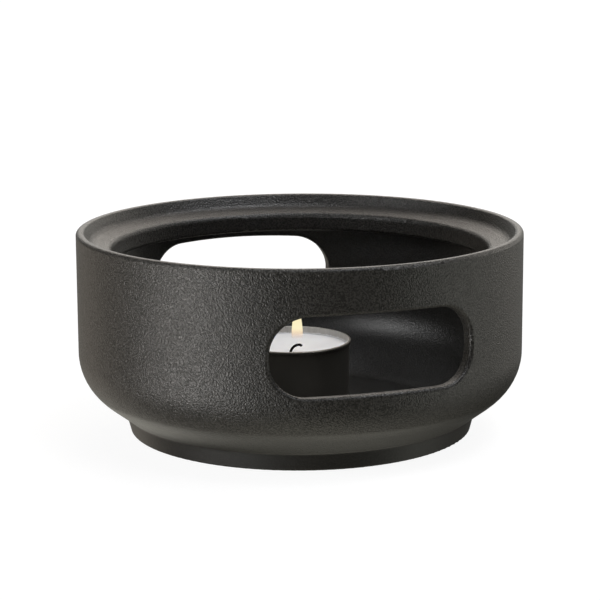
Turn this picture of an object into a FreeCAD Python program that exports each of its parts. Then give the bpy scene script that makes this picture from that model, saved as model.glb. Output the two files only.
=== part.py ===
import FreeCAD, Part
import math
import os

import Sketcher

# Teapot warmer: a turned stoneware bowl with two windows in its wall and a ledge for the teapot,
# and a tealight that stands loose on its floor.
# Millimetres, +Z up, origin on the table under the bowl's axis. The windows face -Y and +Y.

SIZES = (
    # The bowl's outside
    ("bowl_diameter", 145.0),
    ("bowl_height", 66.0),
    ("wall", 5.0),
    ("belly_height", 17.2),           # where the slanted underside, carried on, would meet the wall
    ("belly_overhang", 15.2),         # how far the wall stands out over the top of the foot
    ("belly_round", 19.0),
    # The foot it stands on
    ("foot_height", 5.8),
    ("foot_flare", 1.5),              # how much wider the foot is on each side at its top
    ("foot_edge_round", 0.7),
    ("foot_crease_round", 1.2),
    ("foot_ring_width", 7.5),
    ("recess_depth", 1.6),
    ("recess_slant", 1.2),
    ("floor_height", 5.5),
    ("floor_round", 8.0),
    # The rim and the ledge that carries the teapot, measured inwards and down from the rim
    ("rim_outer_round", 1.2),
    ("rim_top_width", 2.4),
    ("rim_inner_round", 0.9),
    ("rim_width", 4.8),               # to where the rim's inner slope, carried on, would meet the ledge
    ("seat_drop", 4.0),
    ("seat_round", 3.0),
    ("ledge_reach", 11.5),
    ("mouth_drop", 5.7),
    ("mouth_edge_round", 1.8),
    ("ledge_thickness", 6.0),
    ("ledge_lower_round", 1.0),
    ("ledge_root_round", 0.5),
    # The two windows. Each is cut at a slope, so it is lower on the wall's inside than outside.
    ("window_width", 64.4),
    ("window_bottom", 27.5),
    ("window_top_gap", 2.2),          # from the window's top up to the underside of the ledge
    ("window_side_straight", 2.5),    # the upright stretch between its rounded corners
    ("window_drop", 0.7),             # how much the cut falls across the wall
    ("window_edge_round", 1.1),
    # The tealight's cup
    ("tealight_x", -3.9),
    ("tealight_y", -1.3),
    ("cup_diameter", 38.8),           # just under the rolled rim
    ("cup_height", 24.0),
    ("cup_draft", 0.4),               # how much narrower the cup is on each side at its bottom
    ("cup_wall", 0.4),
    ("cup_bottom_round", 1.6),
    ("cup_rim_roll", 0.5),            # how far the rolled rim stands out
    ("cup_rim_height", 1.1),
    ("cup_rim_round", 0.4),
    ("cup_lip_round", 0.15),
    ("cup_dimple_diameter", 27.0),
    ("cup_dimple_height", 0.7),
    ("cup_dimple_slant", 0.6),
    # What the cup holds
    ("wax_depth_below_rim", 2.4),
    ("wax_pool_depth", 2.7),
    ("clip_diameter", 12.5),
    ("clip_sheet", 0.25),
    ("clip_collar_diameter", 2.6),
    ("clip_collar_height", 3.2),
    ("wick_diameter", 0.85),
    ("wick_lean_x", 2.95),
    ("wick_lean_z", 2.9),
    ("wick_hook_x", 0.95),
    ("wick_hook_z", 0.5),
    ("fit_gap", 0.05),                # between round faces that seat in each other
)

# The ledge's underside, and the window's outline as it stands in its leaning plane
LEDGE_BOTTOM = "sizes.bowl_height - sizes.mouth_drop - sizes.ledge_thickness"
WINDOW_LEAN = "atan(sizes.window_drop / sizes.wall)"
WINDOW_FALL = "sizes.bowl_diameter / 2 * sizes.window_drop / sizes.wall"
WINDOW_LOW = f"(sizes.window_bottom - {WINDOW_FALL}) * cos({WINDOW_LEAN})"
WINDOW_HEIGHT = (f"({LEDGE_BOTTOM} - sizes.window_top_gap - sizes.window_bottom)"
                 f" * cos({WINDOW_LEAN})")
WINDOW_CORNER = f"({WINDOW_HEIGHT} - sizes.window_side_straight) / 2"


def add_sheet(doc):
    """Keep every driving size in one sheet, in a cell that carries the size's name."""
    sheet = doc.addObject("Spreadsheet::Sheet", "sizes")
    for row, (name, value) in enumerate(SIZES, start=1):
        sheet.set(f"A{row}", name)
        sheet.set(f"B{row}", str(value))
        sheet.setAlias(f"B{row}", name)
    doc.recompute()
    return sheet


def number(doc, expression):
    """What an expression on the sheet comes to now, as a first place for the sketch's solver."""
    return float(doc.sizes.evalExpression(expression))


def add_body(doc, label):
    body = doc.addObject("PartDesign::Body", "Body_" + label)
    body.Label = label
    return body


def origin_plane(body, role):
    return next(item for item in body.Origin.OriginFeatures if item.Role == role)


def add_sketch(body, name, plane):
    """A sketch on one of the body's own origin planes."""
    sketch = body.newObject("Sketcher::SketchObject", name)
    sketch.AttachmentSupport = [(origin_plane(body, plane), "")]
    sketch.MapMode = "FlatFace"
    return sketch


def drive(sketch, constraint, expression):
    """Add a constraint whose value follows the sheet."""
    index = sketch.addConstraint(constraint)
    sketch.setExpression(f"Constraints[{index}]", expression)


def place(sketch, geometry, end, across, up):
    """Fix a point of the sketch at a distance from both axes. None means on the axis."""
    doc = sketch.Document
    for kind, axis, expression in (("DistanceX", -2, across), ("DistanceY", -1, up)):
        if expression is None:
            sketch.addConstraint(Sketcher.Constraint("PointOnObject", geometry, end, axis))
        else:
            value = number(doc, expression)
            drive(sketch, Sketcher.Constraint(kind, -1, 1, geometry, end, value), expression)


def add_outline(sketch, corners):
    """Draw a closed outline through its corners: (across, up, radius), where radius may be None.

    A rounded corner keeps its sharp point as a construction point on both of its lines.
    """
    doc = sketch.Document
    points = [FreeCAD.Vector(*(0.0 if e is None else number(doc, e) for e in (across, up)))
              for across, up, radius in corners]
    count = len(corners)
    arrive = list(points)
    leave = list(points)
    middle = [None] * count
    for i, (across, up, radius) in enumerate(corners):
        if radius is None:
            continue
        back = (points[i - 1] - points[i]).normalize()
        ahead = (points[(i + 1) % count] - points[i]).normalize()
        half_angle = back.getAngle(ahead) / 2
        size = number(doc, radius)
        reach = size / math.tan(half_angle)
        inward = (back + ahead).normalize()
        arrive[i] = points[i] + back * reach
        leave[i] = points[i] + ahead * reach
        middle[i] = points[i] + inward * (size / math.sin(half_angle) - size)
    lines = [sketch.addGeometry(Part.LineSegment(leave[i], arrive[(i + 1) % count]), False)
             for i in range(count)]
    for i, (across, up, radius) in enumerate(corners):
        before = lines[i - 1]
        after = lines[i]
        if radius is None:
            sketch.addConstraint(Sketcher.Constraint("Coincident", before, 2, after, 1))
            place(sketch, after, 1, across, up)
            continue
        # A sketch keeps every arc anticlockwise, so one that turns clockwise is drawn from its far end.
        clockwise = (arrive[i] - points[i]).cross(leave[i] - points[i]).z > 0
        ends = (leave[i], arrive[i]) if clockwise else (arrive[i], leave[i])
        first, last = (2, 1) if clockwise else (1, 2)
        arc = sketch.addGeometry(Part.Arc(ends[0], middle[i], ends[1]), False)
        sketch.addConstraint(Sketcher.Constraint("Tangent", before, 2, arc, first))
        sketch.addConstraint(Sketcher.Constraint("Tangent", arc, last, after, 1))
        drive(sketch, Sketcher.Constraint("Radius", arc, number(doc, radius)), radius)
        sharp = sketch.addGeometry(Part.Point(points[i]), True)
        sketch.addConstraint(Sketcher.Constraint("PointOnObject", sharp, 1, before))
        sketch.addConstraint(Sketcher.Constraint("PointOnObject", sharp, 1, after))
        place(sketch, sharp, 1, across, up)


def revolve(body, name, corners):
    """Turn an outline in the upright plane once round the body's own vertical axis."""
    sketch = add_sketch(body, name + "Outline", "XZ_Plane")
    add_outline(sketch, corners)
    turned = body.newObject("PartDesign::Revolution", name)
    turned.Profile = sketch
    turned.ReferenceAxis = (sketch, ["V_Axis"])
    turned.Angle = 360.0
    body.Tip = turned
    body.Document.recompute()
    return turned


def add_bowl(doc):
    """The stoneware bowl, in one piece: foot, belly, wall, rim, ledge and two windows."""
    body = add_body(doc, "warmer_body")
    bowl_turned(body)
    bowl_windows(body)
    return body


def bowl_turned(body):
    """The bowl as it comes off the wheel, before its windows are cut."""
    radius = "sizes.bowl_diameter / 2"
    foot_top = f"({radius} - sizes.belly_overhang)"
    foot = f"{foot_top} - sizes.foot_flare"
    recess = f"{foot} - sizes.foot_ring_width"
    slope = "((sizes.belly_height - sizes.foot_height) / sizes.belly_overhang)"
    inside = f"({radius} - sizes.wall)"
    # The inside of the belly runs parallel to the outside, one wall further in.
    lift = f"sizes.wall * sqrt(1 + {slope} ^ 2)"
    inner_belly = f"sizes.foot_height + ({inside} - {foot_top}) * {slope} + {lift}"
    inner_floor = f"{foot_top} + (sizes.floor_height - sizes.foot_height - {lift}) / {slope}"
    seat_height = "sizes.bowl_height - sizes.seat_drop"
    mouth = f"{radius} - sizes.ledge_reach"
    mouth_height = "sizes.bowl_height - sizes.mouth_drop"
    revolve(body, "BowlTurned", (
        (None, "sizes.recess_depth", None),
        (f"{recess} - sizes.recess_slant", "sizes.recess_depth", None),
        (recess, None, None),
        (foot, None, "sizes.foot_edge_round"),
        (foot_top, "sizes.foot_height", "sizes.foot_crease_round"),
        (radius, "sizes.belly_height", "sizes.belly_round"),
        (radius, "sizes.bowl_height", "sizes.rim_outer_round"),
        (f"{radius} - sizes.rim_top_width", "sizes.bowl_height", "sizes.rim_inner_round"),
        (f"{radius} - sizes.rim_width", seat_height, "sizes.seat_round"),
        (mouth, mouth_height, "sizes.mouth_edge_round"),
        (mouth, LEDGE_BOTTOM, "sizes.ledge_lower_round"),
        (inside, LEDGE_BOTTOM, "sizes.ledge_root_round"),
        (inside, inner_belly, "sizes.belly_round - sizes.wall"),
        (inner_floor, "sizes.floor_height", "sizes.floor_round"),
        (None, "sizes.floor_height", None),
    ))


def bowl_windows(body):
    """A rounded rectangle, cut through the wall in front and, mirrored, behind; then softened."""
    doc = body.Document
    solid = body.Tip.Shape.Volume
    sketch = add_sketch(body, "WindowOutline", "XZ_Plane")
    sketch.AttachmentOffset = FreeCAD.Placement(
        FreeCAD.Vector(0, 0, 0), FreeCAD.Rotation(FreeCAD.Vector(-1, 0, 0), 1))
    sketch.setExpression("AttachmentOffset.Rotation.Angle", WINDOW_LEAN)
    add_window_outline(sketch)
    cut = body.newObject("PartDesign::Pocket", "FrontWindow")
    cut.Profile = sketch
    cut.Type = "ThroughAll"
    cut.Reversed = True
    body.Tip = cut
    doc.recompute()
    one = solid - cut.Shape.Volume
    both = body.newObject("PartDesign::Mirrored", "Windows")
    both.Originals = [cut]
    both.MirrorPlane = (origin_plane(body, "XZ_Plane"), [""])
    body.Tip = both
    doc.recompute()
    two = solid - both.Shape.Volume
    if one <= 0 or abs(two / one - 2) > 0.001:
        raise RuntimeError("the windows aren't cut out of the wall alike")
    softened = body.newObject("PartDesign::Fillet", "WindowEdges")
    softened.Base = (both, window_edges(doc, both.Shape))
    softened.setExpression("Radius", "sizes.window_edge_round")
    body.Tip = softened
    doc.recompute()


def add_window_outline(sketch):
    """A rectangle about the vertical axis, with its four corners rounded alike."""
    doc = sketch.Document
    half_width = number(doc, "sizes.window_width / 2")
    low = number(doc, WINDOW_LOW)
    high = low + number(doc, WINDOW_HEIGHT)
    round_size = number(doc, WINDOW_CORNER)
    corners = []
    for x, z in ((-half_width, low), (half_width, low), (half_width, high), (-half_width, high)):
        corners.append(FreeCAD.Vector(x, z, 0))
    sides = []
    for i, corner in enumerate(corners):
        following = corners[(i + 1) % 4]
        along = (following - corner).normalize() * round_size
        sides.append(sketch.addGeometry(Part.LineSegment(corner + along, following - along), False))
    arcs = []
    for i, corner in enumerate(corners):
        centre = corner + FreeCAD.Vector(-math.copysign(round_size, corner.x),
                                         round_size if corner.y == low else -round_size, 0)
        start = math.pi + i * math.pi / 2
        circle = Part.Circle(centre, FreeCAD.Vector(0, 0, 1), round_size)
        arcs.append(sketch.addGeometry(Part.ArcOfCircle(circle, start, start + math.pi / 2), False))
    for i, arc in enumerate(arcs):
        sketch.addConstraint(Sketcher.Constraint("Tangent", sides[i - 1], 2, arc, 1))
        sketch.addConstraint(Sketcher.Constraint("Tangent", arc, 2, sides[i], 1))
    for arc in arcs[1:]:
        sketch.addConstraint(Sketcher.Constraint("Equal", arcs[0], arc))
    bottom, right, top, left = sides
    sketch.addConstraint(Sketcher.Constraint("Horizontal", top))
    sketch.addConstraint(Sketcher.Constraint("Vertical", left))
    sketch.addConstraint(Sketcher.Constraint("Vertical", right))
    sketch.addConstraint(Sketcher.Constraint("Symmetric", bottom, 1, bottom, 2, -2))
    drive(sketch, Sketcher.Constraint("Radius", arcs[0], round_size), WINDOW_CORNER)
    drive(sketch, Sketcher.Constraint("DistanceX", left, 1, right, 1, 2 * half_width),
          "sizes.window_width")
    drive(sketch, Sketcher.Constraint("DistanceY", -1, 1, bottom, 1, low), WINDOW_LOW)
    drive(sketch, Sketcher.Constraint("DistanceY", bottom, 1, top, 1, high - low), WINDOW_HEIGHT)


def window_edges(doc, shape):
    """The edges where the windows break through the wall: all of theirs but the straight ones."""
    half_width = number(doc, "sizes.window_width / 2") + 0.01
    low = number(doc, WINDOW_LOW)
    high = number(doc, LEDGE_BOTTOM)
    names = []
    for index, edge in enumerate(shape.Edges, start=1):
        in_window = all(abs(p.x) < half_width and low < p.z < high for p in edge.discretize(7))
        if in_window and not isinstance(edge.Curve, Part.Line):
            names.append(f"Edge{index}")
    return names


def add_cup(doc):
    """The tealight's drawn metal cup: thin wall, rolled rim and a raised middle in its bottom."""
    body = add_body(doc, "tealight_cup")
    outside = "sizes.cup_diameter / 2"
    bottom = f"{outside} - sizes.cup_draft"
    roll = f"{outside} + sizes.cup_rim_roll"
    roll_bottom = "sizes.cup_height - sizes.cup_rim_height"
    dimple = "sizes.cup_dimple_diameter / 2"
    revolve(body, "Cup", (
        (None, "sizes.cup_dimple_height", None),
        (f"{dimple} - sizes.cup_dimple_slant", "sizes.cup_dimple_height", None),
        (dimple, None, None),
        (bottom, None, "sizes.cup_bottom_round"),
        (outside, roll_bottom, None),
        (roll, roll_bottom, "sizes.cup_rim_round"),
        (roll, "sizes.cup_height", "sizes.cup_rim_round"),
        (f"{outside} - sizes.cup_wall", "sizes.cup_height", "sizes.cup_lip_round"),
        (f"{bottom} - sizes.cup_wall", "sizes.cup_wall", "sizes.cup_bottom_round - sizes.cup_wall"),
        (dimple, "sizes.cup_wall", None),
        (f"{dimple} - sizes.cup_dimple_slant", "sizes.cup_wall + sizes.cup_dimple_height", None),
        (None, "sizes.cup_wall + sizes.cup_dimple_height", None),
    ))
    return body


def add_wax(doc):
    """The wax: it fills the cup, leaves room for the clip and the wick, and has melted in the middle."""
    body = add_body(doc, "tealight_wax")
    bottom = "sizes.cup_diameter / 2 - sizes.cup_draft - sizes.cup_wall - sizes.fit_gap"
    slope = "(sizes.cup_draft / (sizes.cup_height - sizes.cup_rim_height))"
    level = "sizes.cup_height - sizes.wax_depth_below_rim"
    dimple = "sizes.cup_dimple_diameter / 2"
    raised = "(sizes.cup_wall + sizes.cup_dimple_height)"
    clip = "sizes.clip_diameter / 2 + sizes.fit_gap"
    clip_top = f"{raised} + sizes.clip_sheet"
    collar = "sizes.clip_collar_diameter / 2 + sizes.fit_gap"
    collar_top = f"{raised} + sizes.clip_collar_height"
    bore = "sizes.wick_diameter / 2 + sizes.fit_gap"
    revolve(body, "Wax", (
        (dimple, "sizes.cup_wall", None),
        (bottom, "sizes.cup_wall", "sizes.cup_bottom_round - sizes.cup_wall"),
        (f"{bottom} + {slope} * ({level} - sizes.cup_wall)", level, None),
        (bore, f"{level} - sizes.wax_pool_depth", None),
        (bore, collar_top, None),
        (collar, collar_top, None),
        (collar, clip_top, None),
        (clip, clip_top, None),
        (clip, raised, None),
        (f"{dimple} - sizes.cup_dimple_slant", raised, None),
    ))
    return body


def add_clip(doc):
    """The wick's sheet metal clip: a disc on the cup's bottom with a collar that grips the wick."""
    body = add_body(doc, "wick_clip")
    disc = "sizes.clip_diameter / 2"
    collar = "sizes.clip_collar_diameter / 2"
    bore = "sizes.wick_diameter / 2 + sizes.fit_gap"
    revolve(body, "Clip", (
        (bore, None, None),
        (disc, None, None),
        (disc, "sizes.clip_sheet", None),
        (collar, "sizes.clip_sheet", None),
        (collar, "sizes.clip_collar_height", None),
        (bore, "sizes.clip_collar_height", None),
    ))
    return body


def add_wick(doc):
    """The wick: upright in the wax, then leaning over into a small burnt hook."""
    body = add_body(doc, "tealight_wick")
    path = add_sketch(body, "WickPath", "XZ_Plane")
    straight = ("sizes.cup_height - sizes.wax_depth_below_rim - sizes.wax_pool_depth"
                " - sizes.cup_wall - sizes.cup_dimple_height")
    add_wick_path(path, straight)
    section = add_sketch(body, "WickSection", "XY_Plane")
    radius = "sizes.wick_diameter / 2"
    circle = Part.Circle(FreeCAD.Vector(0, 0, 0), FreeCAD.Vector(0, 0, 1), number(doc, radius))
    ring = section.addGeometry(circle, False)
    section.addConstraint(Sketcher.Constraint("Coincident", ring, 3, -1, 1))
    drive(section, Sketcher.Constraint("Radius", ring, number(doc, radius)), radius)
    wick = body.newObject("PartDesign::AdditivePipe", "Wick")
    wick.Profile = section
    wick.Spine = (path, [])
    body.Tip = wick
    doc.recompute()
    return body


def add_wick_path(path, straight):
    """One upright line and two arcs that go on from it without a kink."""
    doc = path.Document
    top = FreeCAD.Vector(0, number(doc, straight), 0)
    lean = FreeCAD.Vector(number(doc, "sizes.wick_lean_x"), number(doc, "sizes.wick_lean_z"), 0)
    hook = FreeCAD.Vector(number(doc, "sizes.wick_hook_x"), -number(doc, "sizes.wick_hook_z"), 0)
    upright = path.addGeometry(Part.LineSegment(FreeCAD.Vector(0, 0, 0), top), False)
    first = add_tangent_arc(path, top, FreeCAD.Vector(0, 1, 0), lean)
    turn = 2 * math.atan2(lean.x, lean.y)
    heading = FreeCAD.Vector(math.sin(turn), math.cos(turn), 0)
    second = add_tangent_arc(path, top + lean, heading, hook)
    # Both arcs turn clockwise, so each one's end comes first and its start last along the wick.
    path.addConstraint(Sketcher.Constraint("Coincident", upright, 1, -1, 1))
    path.addConstraint(Sketcher.Constraint("Vertical", upright))
    path.addConstraint(Sketcher.Constraint("Tangent", upright, 2, first, 2))
    path.addConstraint(Sketcher.Constraint("Tangent", first, 1, second, 2))
    drive(path, Sketcher.Constraint("DistanceY", upright, 1, upright, 2, top.y), straight)
    drive(path, Sketcher.Constraint("DistanceX", upright, 2, first, 1, lean.x), "sizes.wick_lean_x")
    drive(path, Sketcher.Constraint("DistanceY", upright, 2, first, 1, lean.y), "sizes.wick_lean_z")
    drive(path, Sketcher.Constraint("DistanceX", first, 1, second, 1, hook.x), "sizes.wick_hook_x")
    drive(path, Sketcher.Constraint("DistanceY", second, 1, first, 1, -hook.y), "sizes.wick_hook_z")


def add_tangent_arc(path, start, heading, chord):
    """An arc that leaves its start along the heading and ends one chord further, turning clockwise."""
    side = FreeCAD.Vector(heading.y, -heading.x, 0)
    radius = chord.Length ** 2 / (2 * chord.dot(side))
    centre = start + side * radius
    finish = start + chord
    angles = [math.atan2(p.y - centre.y, p.x - centre.x) for p in (finish, start)]
    circle = Part.Circle(centre, FreeCAD.Vector(0, 0, 1), radius)
    return path.addGeometry(Part.ArcOfCircle(circle, *angles), False)


def stand(body, height):
    """Put a piece of the tealight where the tealight stands, at its own height above the table."""
    body.setExpression("Placement.Base.x", "sizes.tealight_x")
    body.setExpression("Placement.Base.y", "sizes.tealight_y")
    body.setExpression("Placement.Base.z", height)


def check(doc, bodies):
    """Stop if any object failed, or if a piece isn't one sound solid."""
    for item in doc.Objects:
        if "Invalid" in item.State or "Error" in item.State:
            raise RuntimeError(f"{item.Label} failed: {item.State}")
        if item.isDerivedFrom("Sketcher::SketchObject") and not item.FullyConstrained:
            raise RuntimeError(f"{item.Label} isn't fully constrained")
    for body in bodies:
        shape = body.Shape
        if shape.isNull() or not shape.isValid() or len(shape.Solids) != 1:
            raise RuntimeError(f"{body.Label} isn't one sound solid")


def main():
    doc = FreeCAD.newDocument("teapot_warmer")
    add_sheet(doc)
    bowl = add_bowl(doc)
    cup = add_cup(doc)
    wax = add_wax(doc)
    clip = add_clip(doc)
    wick = add_wick(doc)
    cup_bottom = "sizes.floor_height + sizes.cup_wall + sizes.cup_dimple_height"
    stand(cup, "sizes.floor_height")
    stand(wax, "sizes.floor_height")
    stand(clip, cup_bottom)
    stand(wick, cup_bottom)
    doc.recompute()
    bodies = (bowl, cup, wax, clip, wick)
    check(doc, bodies)
    os.makedirs("parts", exist_ok=True)
    for body in bodies:
        body.Shape.exportStep(f"parts/{body.Label}.step")
        box = body.Shape.BoundBox
        print(f"{body.Label}: {body.Shape.Volume / 1000:.2f} cm3, "
              f"{box.XLength:.2f} x {box.YLength:.2f} x {box.ZLength:.2f} mm, "
              f"from z = {box.ZMin:.2f}")


main()
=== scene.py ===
# %% [markdown]
# # A teapot warmer
# The object is a turned bowl of dark stoneware with a window in each side. A teapot stands on the
# ledge inside its rim, and the tealight on its floor keeps the tea warm. All solid pieces come
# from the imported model, so this file gives them their finishes, adds the flame, and lights the
# whole thing softly on a white table.

import math

import bmesh
import bpy
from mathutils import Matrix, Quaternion, Vector


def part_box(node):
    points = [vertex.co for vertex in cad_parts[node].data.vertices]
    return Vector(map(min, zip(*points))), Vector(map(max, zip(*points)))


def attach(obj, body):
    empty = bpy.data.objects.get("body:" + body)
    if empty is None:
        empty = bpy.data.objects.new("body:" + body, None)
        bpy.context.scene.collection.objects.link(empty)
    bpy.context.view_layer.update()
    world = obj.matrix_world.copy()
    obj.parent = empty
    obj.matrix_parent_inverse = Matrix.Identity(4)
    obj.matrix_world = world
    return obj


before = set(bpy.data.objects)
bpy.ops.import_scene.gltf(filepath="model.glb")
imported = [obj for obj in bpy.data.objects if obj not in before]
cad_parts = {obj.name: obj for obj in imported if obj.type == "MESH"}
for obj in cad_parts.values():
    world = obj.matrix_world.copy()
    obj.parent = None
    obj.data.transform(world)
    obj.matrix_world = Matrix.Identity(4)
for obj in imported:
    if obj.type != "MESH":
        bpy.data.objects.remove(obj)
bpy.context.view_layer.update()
MM = 0.001
for name in sorted(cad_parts):
    low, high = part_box(name)
    print(name, "from", [round(v / MM, 2) for v in low], "to", [round(v / MM, 2) for v in high], "mm")

# %% [markdown]
# ## The camera
# A camera is found by asking what the picture shows of a known shape. Here the rim and the foot
# are two circles of known size, so their ellipses give the distance, the height and the lens.
# The windows then say how far round the object the camera stands. It is placed by those four
# numbers and not by eye, because then the outline fits and the rest can be compared.

# %% Place the camera
CAMERA_ROUND = math.radians(19.5)     # to the left of straight in front of a window
CAMERA_AWAY = 701.95 * MM
CAMERA_HEIGHT = 187.36 * MM
CAMERA_PITCH = math.radians(11.704)
CAMERA_ROLL = math.radians(-0.276)

toward_camera = Vector((-math.sin(CAMERA_ROUND), -math.cos(CAMERA_ROUND), 0))
camera_data = bpy.data.cameras.new("camera")
camera_data.sensor_width = 36
camera_data.sensor_fit = "HORIZONTAL"
camera_data.lens = 131.47
camera_data.clip_start = 0.01
camera_data.clip_end = 20
camera = bpy.data.objects.new("camera", camera_data)
bpy.context.scene.collection.objects.link(camera)
camera.location = toward_camera * CAMERA_AWAY + Vector((0, 0, CAMERA_HEIGHT))
sight = -toward_camera * math.cos(CAMERA_PITCH) - Vector((0, 0, math.sin(CAMERA_PITCH)))
camera.rotation_mode = "QUATERNION"
camera.rotation_quaternion = (sight.to_track_quat("-Z", "Y")
                              @ Quaternion((0, 0, 1), CAMERA_ROLL))
bpy.context.scene.camera = camera
bpy.context.scene.view_settings.view_transform = "Standard"
print("camera at", [round(v / MM, 1) for v in camera.location], "mm, lens", camera_data.lens)

# %% [markdown]
# ## Writing materials as sums
# A finish is made of nodes, but a page of node calls hides what it does. Three small classes
# help. A Wire stands for a socket and can be added, multiplied and compared, and each sign adds
# one Math node. A Board makes every other node through one method, for a material or for the
# world, and a Finish is a board with a surface shader on it. So a material below reads as a
# short recipe.


# %% A socket that takes part in sums
class Wire:
    """A node's output, for use in sums and as another node's input."""

    def __init__(self, board, socket):
        self.board = board
        self.socket = socket

    def math(self, operation, first, second):
        return self.board.node("ShaderNodeMath", {"operation": operation}, {0: first, 1: second})

    def __add__(self, other):
        return self.math("ADD", self, other)

    def __radd__(self, other):
        return self.math("ADD", other, self)

    def __sub__(self, other):
        return self.math("SUBTRACT", self, other)

    def __rsub__(self, other):
        return self.math("SUBTRACT", other, self)

    def __mul__(self, other):
        return self.math("MULTIPLY", self, other)

    def __rmul__(self, other):
        return self.math("MULTIPLY", other, self)

    def __gt__(self, other):
        return self.math("GREATER_THAN", self, other)

    def __lt__(self, other):
        return self.math("LESS_THAN", self, other)


# %% A board of nodes
class Board:
    """The nodes of a material or of the world, which are made one at a time."""

    def __init__(self, owner):
        owner.use_nodes = True
        self.tree = owner.node_tree

    def set(self, node, inputs):
        """Give each input its wire or its constant. A name's spaces are written as underscores."""
        for key, value in inputs.items():
            socket = node.inputs[key.replace("_", " ") if isinstance(key, str) else key]
            if isinstance(value, Wire):
                self.tree.links.new(value.socket, socket)
            else:
                socket.default_value = value

    def node(self, kind, settings, inputs, output=0):
        """Make a node: its settings come first, then what its inputs hold."""
        node = self.tree.nodes.new(kind)
        for name, value in settings.items():
            if name == "stops":
                while len(node.color_ramp.elements) < len(value):
                    node.color_ramp.elements.new(1.0)
                for element, (where, colour) in zip(node.color_ramp.elements, value):
                    element.position = where
                    element.color = (*colour, 1.0)
            else:
                setattr(node, name, value)
        self.set(node, inputs)
        return Wire(self, node.outputs[output])


# %% A material under construction
class Finish(Board):
    """A material with a Principled shader."""

    def __init__(self, name, **constants):
        self.material = bpy.data.materials.new(name)
        super().__init__(self.material)
        self.shader = self.tree.nodes["Principled BSDF"]
        self.set(self.shader, constants)
        self.place = self.node("ShaderNodeTexCoord", {}, {}, "Object")

    def part(self, place, axis):
        """One of a place's three measures: X, Y or Z."""
        return self.node("ShaderNodeSeparateXYZ", {}, {0: place}, axis)

    def off_axis(self, place):
        """How far a place is from the upright line through zero."""
        flat = self.node("ShaderNodeVectorMath", {"operation": "MULTIPLY"}, {0: place, 1: (1, 1, 0)})
        return self.node("ShaderNodeVectorMath", {"operation": "LENGTH"}, {0: flat}, "Value")

    def noise(self, size, detail=2.0):
        """Soft random values from 0 to 1, with grains about as large as the size."""
        return self.node("ShaderNodeTexNoise", {}, {
            "Vector": self.place, "Scale": 1 / size, "Detail": detail})

    def ramp(self, factor, *stops):
        """Colours that follow a value, each stop a position and a colour."""
        return self.node("ShaderNodeValToRGB", {"stops": stops}, {0: factor})

    def step(self, value, start, end):
        """0 below the start, 1 above the end, and smooth between them."""
        return self.node("ShaderNodeMapRange", {"interpolation_type": "SMOOTHSTEP"}, {
            "Value": value, "From_Min": start, "From_Max": end})

    def mix(self, factor, first, second):
        """A mix of two colours."""
        return self.node("ShaderNodeMix", {"data_type": "RGBA"}, {0: factor, 6: first, 7: second}, 2)

    def bump(self, height, depth):
        """Raised detail that only the shading shows, from 0 up to the depth."""
        return self.node("ShaderNodeBump", {}, {"Height": height, "Distance": depth})

    def wear(self, **inputs):
        """Connect what changes over the surface to the shader."""
        self.set(self.shader, inputs)


def coat(node_name, finish):
    """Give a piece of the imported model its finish."""
    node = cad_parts[node_name]
    node.material_slots[0].material = finish.material
    print(node_name, "is finished in", finish.material.name)


# %% [markdown]
# ## Stoneware
# The bowl's glaze is thin and matt, and the fired clay under it gives a fine raised grain, about
# half a millimetre across. Grain of that size could be modelled only with millions of faces, so
# it is a bump. The same noise also lightens the crests a little, because the glaze is thinnest
# there, and a slower noise makes the colour drift between warm and neutral, as it does on a
# fired surface. The sheen between the grains varies too, which gives the small glints.
#
# One piece can have more than one finish. The bowl's inside, below the ledge, has a faint sheen,
# and its colour is darkened there as painted shade for the hollow. The foot is smoother, and its
# colour is darkened as painted shade where the table's contact shadow falls. Two masks say where:
# the foot's comes from a point's height, and the inside's also from its distance from the bowl's
# axis. A mask needs no cut in the mesh, and its soft edge lets one finish pass into the other over
# a millimetre or two.

# %% Finish the bowl
WALL = 5.0 * MM
LEDGE_UNDER = 54.4 * MM               # the height just above the ledge's underside
FOOT_TOP = 5.8 * MM                   # the height at which the foot meets the belly
GRAIN = 0.52 * MM                     # the size of the coarser grains
GRAIN_DEPTH = 0.17 * MM
inner_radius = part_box("warmer_body")[1].x - WALL
stoneware = Finish("charcoal_stoneware", Specular_IOR_Level=0.5, Coat_Roughness=0.4)
bowl_height = stoneware.part(stoneware.place, "Z")
bowl_radius = stoneware.off_axis(stoneware.place)
on_foot = 1 - stoneware.step(bowl_height, FOOT_TOP - 0.8 * MM, FOOT_TOP + 1.0 * MM)
within_wall = 1 - stoneware.step(bowl_radius, inner_radius - 0.2 * MM, inner_radius + 1.0 * MM)
indoors = within_wall * (bowl_height < LEDGE_UNDER) * (1 - on_foot)
smoother = 1 - 0.75 * on_foot
grain = stoneware.noise(GRAIN, 0.0)
fine = stoneware.noise(GRAIN / 2, 0.0)
drift = stoneware.noise(24 * MM)
crest = stoneware.step(grain, 0.38, 0.62) * smoother
body_colour = stoneware.mix(drift, (0.024, 0.022, 0.0195, 1), (0.0255, 0.0248, 0.0228, 1))
crest_colour = stoneware.mix(crest, body_colour, (0.060, 0.057, 0.052, 1))
# Painted shade: below the ledge the inside's colour is darkened towards near black, for the shade in
# the hollow bowl
colour_with_painted_shade_inside = stoneware.mix(0.55 * indoors, crest_colour, (0.008, 0.008, 0.008, 1))
stoneware.wear(
    # Painted shade: the foot's colour is darkened towards near black, for the table's contact shadow
    Base_Color=stoneware.mix(0.5 * on_foot, colour_with_painted_shade_inside, (0.008, 0.0075, 0.007, 1)),
    Roughness=0.36 - 0.12 * fine + 0.10 * on_foot,
    Coat_Weight=0.85 * indoors,
    Normal=stoneware.bump((grain + 0.5 * fine) * (smoother - 0.15 * indoors), GRAIN_DEPTH))
coat("warmer_body", stoneware)

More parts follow.
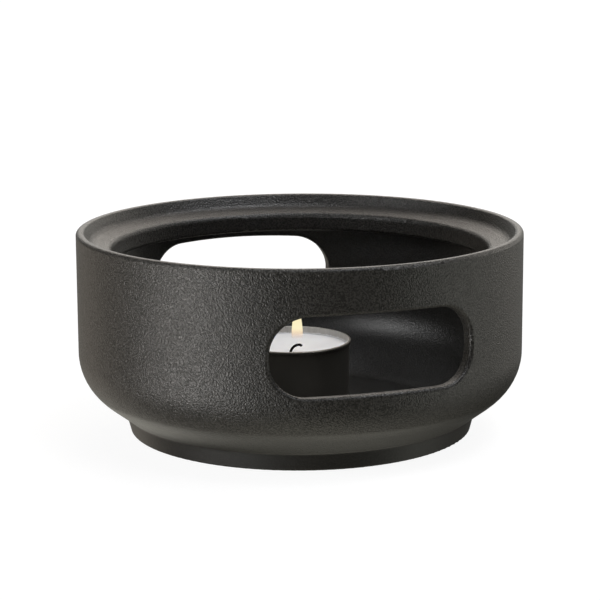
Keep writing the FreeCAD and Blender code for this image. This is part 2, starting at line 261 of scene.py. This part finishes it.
# %% [markdown]
# ## The tealight's cup
# The cup is drawn from thin aluminium sheet that is black on the outside and bare on the inside.
# Both sides belong to one piece, so the distance from the cup's axis decides between them. The
# press leaves small upright folds under the rolled rim, made here as a wave round the axis, and
# the wax has left an uneven film on the bare wall above it.

# %% Finish the cup
CUP_BARE = 19.2 * MM                  # the radius of the bare inside, level with the rim
CUP_RIM_BARE = 19.25 * MM             # on the rolled rim's top the bare metal goes out to here
CUP_RIM_DEPTH = 0.35 * MM             # how far down the rim's top goes
CUP_TAPER = 0.4 / 22.9                # how much the cup narrows for each unit of depth
FOLDS = 96                            # how many folds go round the cup
FILM_DEPTH = 1.7 * MM                 # how far below the rim the film of wax begins
CUP_LOW, CUP_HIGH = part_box("tealight_cup")
cup_axis = (CUP_LOW + CUP_HIGH) / 2
cup = Finish("drawn_cup_metal", Specular_IOR_Level=0.5)
from_axis = cup.node("ShaderNodeMapping", {"vector_type": "POINT"}, {
    "Vector": cup.place, "Location": (-cup_axis.x, -cup_axis.y, -CUP_HIGH.z)})
radius = cup.off_axis(from_axis)
level = cup.part(from_axis, "Z")      # 0 at the rim and below zero in the cup
turn = cup.node("ShaderNodeMath", {"operation": "ARCTAN2"}, {
    0: cup.part(from_axis, "Y"), 1: cup.part(from_axis, "X")})
within = radius - CUP_TAPER * level < CUP_BARE
on_rim = (radius < CUP_RIM_BARE) * (level > -CUP_RIM_DEPTH)
inside = cup.node("ShaderNodeMath", {"operation": "MAXIMUM"}, {0: within, 1: on_rim})
streaks = cup.node("ShaderNodeTexNoise", {}, {
    "Vector": cup.node("ShaderNodeMapping", {}, {"Vector": cup.place, "Scale": (1, 1, 0.06)}),
    "Scale": 1 / (0.9 * MM), "Detail": 2.0})
folds = cup.node("ShaderNodeMath", {"operation": "SINE"}, {0: FOLDS * turn + 5 * streaks})
near_rim = cup.step(level, -3.2 * MM, -1.4 * MM)
blotches = cup.noise(1.6 * MM)
film = cup.step(-FILM_DEPTH - level + 1.2 * MM * (blotches - 0.5), 0.0, 0.3 * MM)
bare = cup.mix(streaks, (0.42, 0.405, 0.385, 1), (0.66, 0.64, 0.61, 1))
waxed = cup.mix(film, bare, (0.80, 0.80, 0.81, 1))
cup.wear(
    Base_Color=cup.mix(inside, (0.17, 0.16, 0.14, 1), waxed),
    Metallic=0.7 - 0.7 * inside * film,
    Roughness=0.30 + 0.14 * streaks + 0.14 * inside,
    Normal=cup.bump(0.5 * folds * near_rim + 0.4 * streaks, 0.04 * MM))
coat("tealight_cup", cup)

# %% [markdown]
# ## Wax, wick and clip
# Wax scatters light below its surface, so it takes a little subsurface colour as well as its own
# white, and a faint glow of its own stands for the flame's light that passes through it. Its skin
# is smooth with a faint unevenness from melting and setting again. The wick is cotton, charred
# black, with the ridges of its braid. The clip that holds it up is tinned sheet.

# %% Finish the wax
wax = Finish("candle_wax", Subsurface_Weight=0.25, Subsurface_Radius=(1.0, 0.9, 0.75),
             Subsurface_Scale=2.0 * MM, Specular_IOR_Level=0.45,
             Emission_Color=(1.0, 0.99, 0.98, 1), Emission_Strength=0.085)
settled = wax.noise(3.2 * MM)
wax.wear(
    Base_Color=wax.mix(settled, (0.84, 0.84, 0.85, 1), (0.90, 0.90, 0.905, 1)),
    Roughness=0.34 + 0.14 * settled,
    Normal=wax.bump(settled, 0.12 * MM))
coat("tealight_wax", wax)

# %% Finish the wick
wick = Finish("charred_cotton", Specular_IOR_Level=0.1)
braid = wick.noise(0.22 * MM)
wick.wear(
    Base_Color=wick.mix(braid, (0.003, 0.003, 0.003, 1), (0.012, 0.011, 0.010, 1)),
    Roughness=0.82 + 0.1 * braid,
    Normal=wick.bump(braid, 0.08 * MM))
coat("tealight_wick", wick)

# %% Finish the clip
clip = Finish("tinned_sheet", Metallic=1.0)
rolled = clip.noise(0.4 * MM)
clip.wear(
    Base_Color=clip.mix(rolled, (0.56, 0.56, 0.56, 1), (0.66, 0.66, 0.66, 1)),
    Roughness=0.28 + 0.1 * rolled,
    Normal=clip.bump(rolled, 0.02 * MM))
coat("wick_clip", clip)

# %% [markdown]
# ## The flame
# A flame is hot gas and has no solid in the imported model. It is a drop shape round the tip of the
# wick, spun from half its outline. Near the wick it is almost clear, and higher up it is a bright
# cream, so its alpha and its glow both follow the height.

# %% Model the flame
FLAME_FOOT = Vector((-1.50 * MM, -1.30 * MM, 26.5 * MM))
FLAME_HALF = ((0.0, 0.0), (0.75, 0.25), (1.30, 1.1), (1.72, 2.6), (1.90, 4.4), (1.80, 6.2),
              (1.55, 8.4), (1.20, 10.8), (0.80, 13.0), (0.40, 15.0), (0.0, 16.8))
flame_mesh = bmesh.new()
outline = [flame_mesh.verts.new((r * MM, 0, z * MM)) for r, z in FLAME_HALF]
edges = [flame_mesh.edges.new(pair) for pair in zip(outline, outline[1:])]
bmesh.ops.spin(flame_mesh, geom=outline + edges, cent=(0, 0, 0), axis=(0, 0, 1), dvec=(0, 0, 0),
               angle=2 * math.pi, steps=40, use_merge=True, use_duplicate=False)
bmesh.ops.remove_doubles(flame_mesh, verts=flame_mesh.verts[:], dist=0.001 * MM)
bmesh.ops.translate(flame_mesh, verts=flame_mesh.verts[:], vec=FLAME_FOOT)
bmesh.ops.recalc_face_normals(flame_mesh, faces=flame_mesh.faces[:])
for face in flame_mesh.faces:
    face.smooth = True
flame_data = bpy.data.meshes.new("flame")
flame_mesh.to_mesh(flame_data)
flame_mesh.free()
flame = bpy.data.objects.new("flame", flame_data)
bpy.context.scene.collection.objects.link(flame)
smooth = flame.modifiers.new("smooth", "SUBSURF")
smooth.levels = smooth.render_levels = 1
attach(flame, "root")
print("flame:", len(flame_data.polygons), "faces, foot at", [round(v / MM, 2) for v in FLAME_FOOT])

# %% Finish the flame
GLOW_TALL = 16.2 * MM                 # the height over which its colours are spread
glow = Finish("flame_glow", Roughness=1.0, Specular_IOR_Level=0.0, Base_Color=(0, 0, 0, 1),
              Emission_Strength=1.0)
rise = (glow.part(glow.place, "Z") - FLAME_FOOT.z) * (1 / GLOW_TALL)
glow.wear(
    Emission_Color=glow.ramp(rise, (0.0, (0.25, 0.35, 0.8)), (0.16, (1.0, 0.60, 0.40)),
                             (0.30, (0.98, 0.76, 0.53)), (0.42, (0.98, 0.89, 0.58)),
                             (0.70, (0.98, 0.86, 0.52)), (1.0, (1.0, 0.70, 0.30))),
    Alpha=glow.step(rise, 0.16, 0.42) * 0.96)
flame.data.materials.append(glow.material)
print("flame is finished in", glow.material.name)

# %% [markdown]
# ## Table and light
# A dark satin bowl shows its surroundings more than its own colour: where it is bright, it mirrors
# something bright. So the light here is a room seen as soft bright patches on black, each with
# its direction, strength and tint. The strongest lies low on the left, where the lit white table
# shines back. One higher on the left shows on the far inner wall, one overhead lights the wax and
# the ledge, and those behind the bowl draw its edges. The patches below the horizon stand in for
# the table, so the table itself neither blocks nor adds light. The camera sees it white, with the
# bowl's faint shadow.

# %% Lay the table
TABLE_HALF = 3.0                      # in metres, so that the camera never sees its edge
table_mesh = bmesh.new()
bmesh.ops.create_grid(table_mesh, x_segments=1, y_segments=1, size=TABLE_HALF)
table_data = bpy.data.meshes.new("table")
table_mesh.to_mesh(table_data)
table_mesh.free()
table = bpy.data.objects.new("table", table_data)
bpy.context.scene.collection.objects.link(table)
table.visible_diffuse = table.visible_glossy = table.visible_shadow = False

tabletop = Finish("white_table", Roughness=0.9, Specular_IOR_Level=0.1,
                  Emission_Color=(1, 1, 1, 1), Emission_Strength=0.92)
paper = tabletop.noise(6 * MM)
tabletop.wear(Base_Color=tabletop.mix(paper, (0.15, 0.15, 0.15, 1), (0.17, 0.17, 0.17, 1)))
table.data.materials.append(tabletop.material)
print("table:", 2 * TABLE_HALF, "m wide, finished in", tabletop.material.name)

# %% Light the room
# Each patch: degrees clockwise from the camera as seen from above, degrees up, a focus that makes
# the patch smaller as it grows, and its colour
PATCHES = (
    (60, -12, 60, (15.0, 14.5, 13.9)),
    (36, -24, 60, (3.4, 3.5, 3.5)),
    (60, 36, 60, (6.5, 6.5, 6.5)),
    (-90, 72, 60, (10.5, 10.5, 10.6)),
    (-60, 60, 16, (1.2, 1.25, 1.35)),
    (180, 33, 16, (2.3, 2.1, 1.9)),
    (-156, 33, 16, (0.5, 0.46, 0.41)),
    (180, 8, 16, (0.61, 0.64, 0.63)),
    (-132, 8, 16, (1.3, 1.25, 1.15)),
    (-84, -17, 16, (1.6, 1.6, 1.45)),
    (-120, -64, 16, (0.55, 0.53, 0.46)),
    (132, -17, 16, (0.60, 0.53, 0.45)),
    (156, -42, 16, (0.65, 0.63, 0.56)),
    (0, -80, 16, (1.0, 0.97, 0.8)),
)


def direction(round_camera, up):
    """The unit vector from the bowl towards a patch."""
    turned = CAMERA_ROUND + math.radians(round_camera)
    rise_angle = math.radians(up)
    reach = math.cos(rise_angle)
    return Vector((-math.sin(turned) * reach, -math.cos(turned) * reach, math.sin(rise_angle)))


surroundings = bpy.data.worlds.new("surroundings")
bpy.context.scene.world = surroundings
room = Board(surroundings)
toward = room.node("ShaderNodeTexCoord", {}, {}, "Generated")
light = (0, 0, 0)
for round_camera, up, focus, colour in PATCHES:
    near = room.node("ShaderNodeVectorMath", {"operation": "DOT_PRODUCT"},
                     {0: toward, 1: direction(round_camera, up)}, "Value")
    soft = room.node("ShaderNodeMath", {"operation": "MAXIMUM"}, {0: near, 1: 0.0})
    soft = room.node("ShaderNodeMath", {"operation": "POWER"}, {0: soft, 1: focus})
    light = room.node("ShaderNodeVectorMath", {"operation": "MULTIPLY_ADD"},
                      {0: soft, 1: colour, 2: light})
seen = room.node("ShaderNodeLightPath", {}, {}, "Is Camera Ray")
light = room.node("ShaderNodeMix", {"data_type": "VECTOR"}, {0: seen, 4: light, 5: (1, 1, 1)}, 1)
room.set(room.tree.nodes["Background"], {"Color": light})
print("the room has", len(PATCHES), "bright patches")
